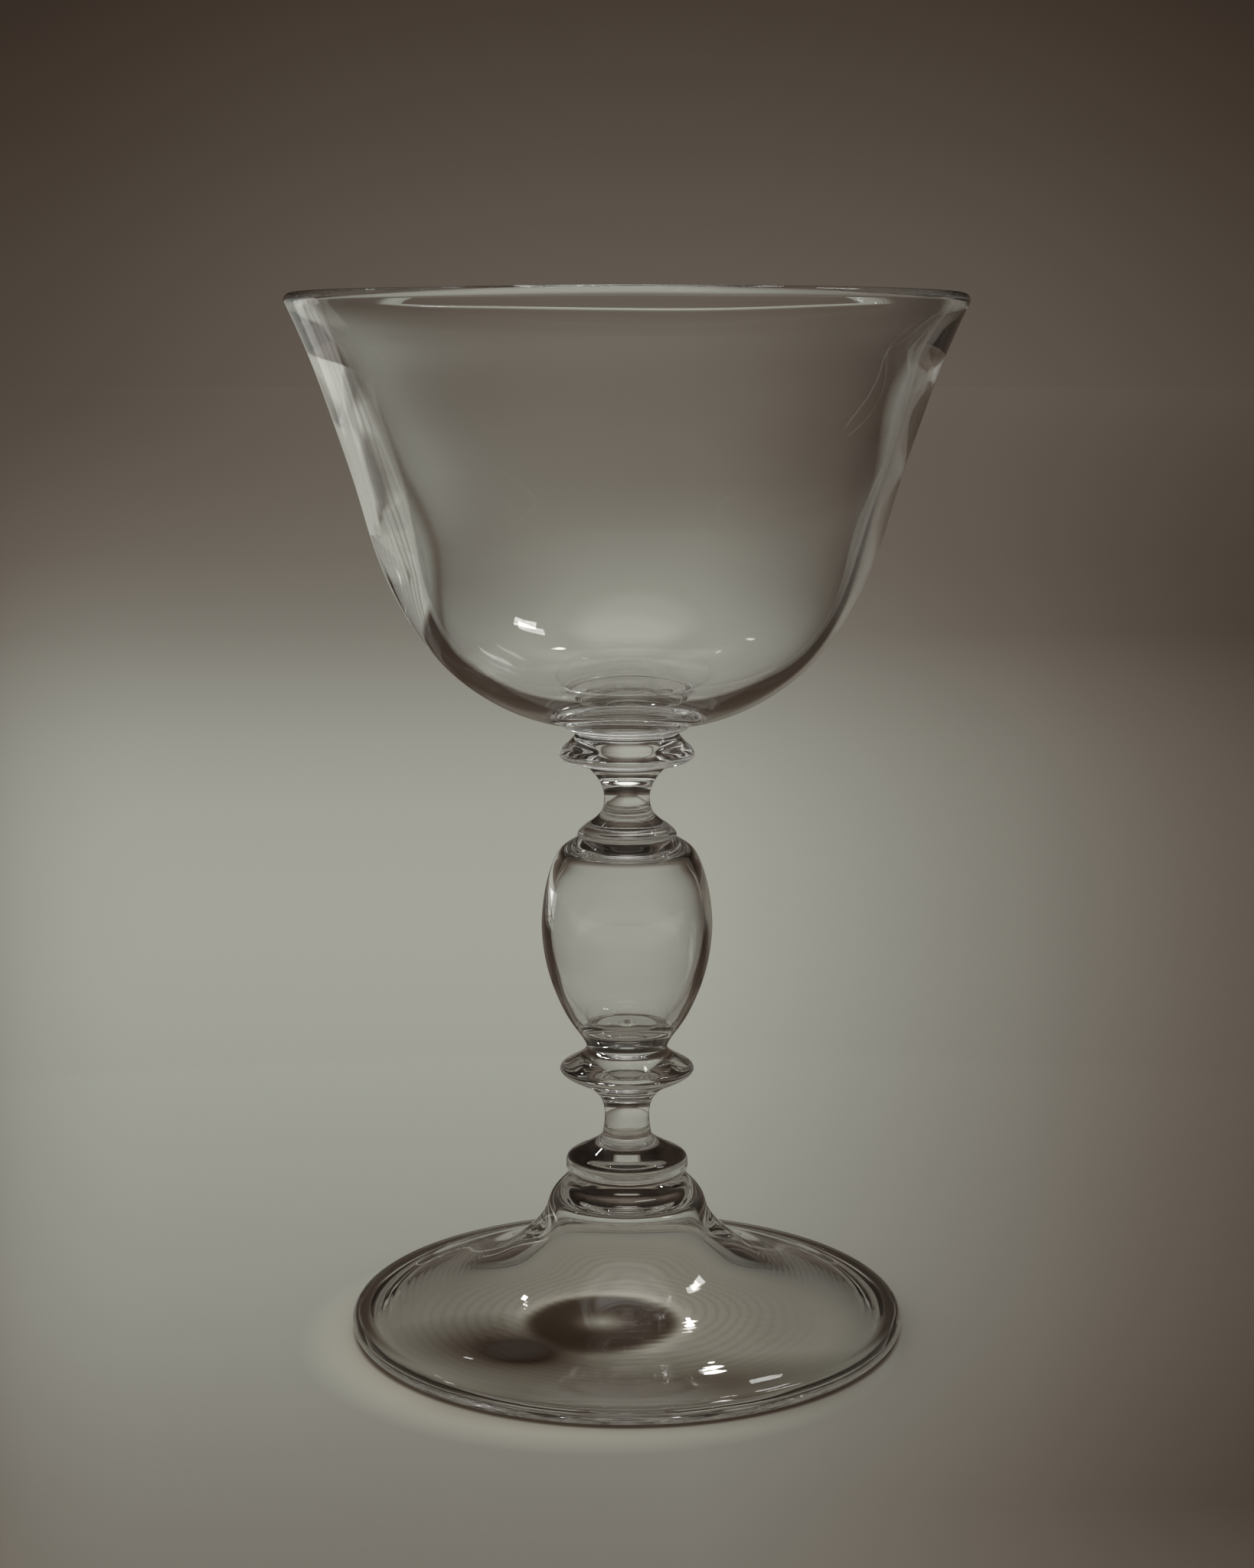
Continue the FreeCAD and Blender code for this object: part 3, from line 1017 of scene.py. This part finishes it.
shows = calculated(nodes, links, "MULTIPLY", mirrored, mapped(nodes, links, behind_slant, *behind_cards))
shows = calculated(nodes, links, "MULTIPLY", shows, mapped(nodes, links, back, *cards_from))
tone = mixed(nodes, links, tone, cards, shows)
shows = calculated(nodes, links, "MULTIPLY", mirrored_twice, mapped(nodes, links, across, *right_card))
tone = mixed(nodes, links, tone, pale, shows)
print("the cards stand behind lines that slant by", card_slant)

# %% [markdown]
# Less light reaches the floor under the foot. A tone that is dimmed like that should also be warmer, so a
# little warmth is laid over the tint there.

# %% Tint the floor
under_warmth = (1.0, 0.92, 0.84, 1)

warmed = nodes.new("ShaderNodeMix")
warmed.data_type = "RGBA"
warmed.blend_type = "MULTIPLY"
warmed.inputs[7].default_value = under_warmth
links.new(covered, warmed.inputs["Factor"])
links.new(tinted(nodes, links, tone), warmed.inputs[6])
matt = nodes.new("ShaderNodeBsdfDiffuse")
links.new(warmed.outputs[2], matt.inputs["Color"])
links.new(matt.outputs[0], nodes.new("ShaderNodeOutputMaterial").inputs["Surface"])
floor.data.materials.append(floor_paint)
floor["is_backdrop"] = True
print("the floor's material has", len(nodes), "nodes")

# %% [markdown]
# ## The light
# The floor is lit evenly by a white sky. What is seen through the glass is another matter: a dim wall
# behind, darker higher up but with two soft patches, a faint glow from above and in front, and a bright
# patch straight overhead. The two soft patches show only through the glass. So the world shows its own
# tones, and only light that goes on to a matt surface finds the white sky.

# %% Lay the tones that the world shows
wall_stops = [
    (-0.1, 0.128), (-0.02, 0.128), (0.035, 0.10), (0.08, 0.076), (0.15, 0.036), (0.24, 0.016), (0.5, 0.014),
]
wall_sides = [(-0.42, 1.5), (-0.30, 0.44)] + far_sides[1:]
glow_from = (0, -0.8, 0.6)
glow_reach = (0.25, 0.9)
glow_tone = 0.09
soft_patches = ((0.43, 0.57, 0.11, 0.30), (0.66, 0.78, 0.32, 0.22))
patch_edge = 0.03
patch_side_shares = (1.2, 0.8)
overhead = (0.92, 0.97)
height_range = (-0.1, 0.5)

world = bpy.data.worlds.new("soft_studio")
world.use_nodes = True
bpy.context.scene.world = world
nodes, links = world.node_tree.nodes, world.node_tree.links
direction = nodes.new("ShaderNodeTexCoord").outputs["Generated"]
split = nodes.new("ShaderNodeSeparateXYZ")
links.new(direction, split.inputs[0])
path = nodes.new("ShaderNodeLightPath")
wall_tone = tones(nodes, links, split.outputs["Z"], *height_range, wall_stops)
wall_side = tones(nodes, links, split.outputs["X"], *side_range, wall_sides)
shown_tone = calculated(nodes, links, "MULTIPLY", wall_tone, wall_side)
towards = nodes.new("ShaderNodeVectorMath")
towards.operation = "DOT_PRODUCT"
towards.inputs[1].default_value = glow_from
links.new(direction, towards.inputs[0])
glow = mapped(nodes, links, towards.outputs["Value"], *glow_reach)
shown_tone = mixed(nodes, links, shown_tone, glow_tone, glow)

through_glass = calculated(nodes, links, "GREATER_THAN", path.outputs["Transmission Depth"], 0.5)
from_middle = calculated(nodes, links, "ABSOLUTE", split.outputs["X"], 0.0)
for low, high, half_width, patch_tone in soft_patches:
    side_fade = [share * half_width for share in patch_side_shares]
    patch = mapped(nodes, links, from_middle, *side_fade)
    for axis, start, full in (
        ("Z", low, low + patch_edge), ("Z", high, high - patch_edge), ("Y", 0, patch_edge),
    ):
        fade = mapped(nodes, links, split.outputs[axis], start, full)
        patch = calculated(nodes, links, "MULTIPLY", patch, fade)
    patch = calculated(nodes, links, "MULTIPLY", patch, through_glass)
    shown_tone = mixed(nodes, links, shown_tone, patch_tone, patch)
straight_up = mapped(nodes, links, split.outputs["Z"], *overhead)
shown_tone = mixed(nodes, links, shown_tone, 1.0, straight_up)
print("the world shows", 1 + len(soft_patches), "bright patches")

# %% Let only matt surfaces see the white sky
even_light = nodes["Background"]
even_light.inputs["Color"].default_value = (1, 1, 1, 1)
even_light.inputs["Strength"].default_value = 1.0
shown = nodes.new("ShaderNodeBackground")
links.new(tinted(nodes, links, shown_tone), shown.inputs["Color"])
lit = calculated(nodes, links, "GREATER_THAN", path.outputs["Diffuse Depth"], 0.5)
choose = nodes.new("ShaderNodeMixShader")
links.new(lit, choose.inputs["Fac"])
links.new(shown.outputs[0], choose.inputs[1])
links.new(even_light.outputs[0], choose.inputs[2])
links.new(choose.outputs[0], nodes["World Output"].inputs["Surface"])
print("the world has", len(nodes), "nodes")

# %% [markdown]
# Three small lamps behind the glass make the glints. Neither the camera nor the floor sees them.

# %% Add the lamps and let the light go deep into the glass
all_bounces, glass_bounces, seam_passes = 80, 64, 48
aimed_at = Vector((0, 0, 0.07))
glint_lamps = (
    ("window_lamp", (0.45, 0.20, 0.75), (0.08, 0.14), 9),
    ("upper_lamp", (0.20, 0.42, 0.80), (0.04, 0.05), 20),
    ("left_lamp", (-0.35, 0.45, 0.62), (0.02, 0.03), 20),
)

for name, lamp_place, size, strength in glint_lamps:
    bpy.ops.object.light_add(type="AREA", location=lamp_place)
    lamp = bpy.context.object
    lamp.name = name
    lamp.data.shape = "RECTANGLE"
    lamp.data.size, lamp.data.size_y = size
    lamp.data.energy = strength * size[0] * size[1] * math.pi
    aim = aimed_at - Vector(lamp_place)
    lamp.rotation_euler = aim.to_track_quat("-Z", "Y").to_euler()
    lamp.visible_camera = False
    lamp.visible_diffuse = False
    print(name, "has", round(1000 * lamp.data.energy, 1), "mW")

cycles = bpy.context.scene.cycles
cycles.max_bounces = all_bounces
cycles.transmission_bounces = cycles.glossy_bounces = glass_bounces
cycles.transparent_max_bounces = seam_passes

# %% Measure the box of the visual model
low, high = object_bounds()
print("the visual model is", [round(1000 * size, 2) for size in high - low], "mm")
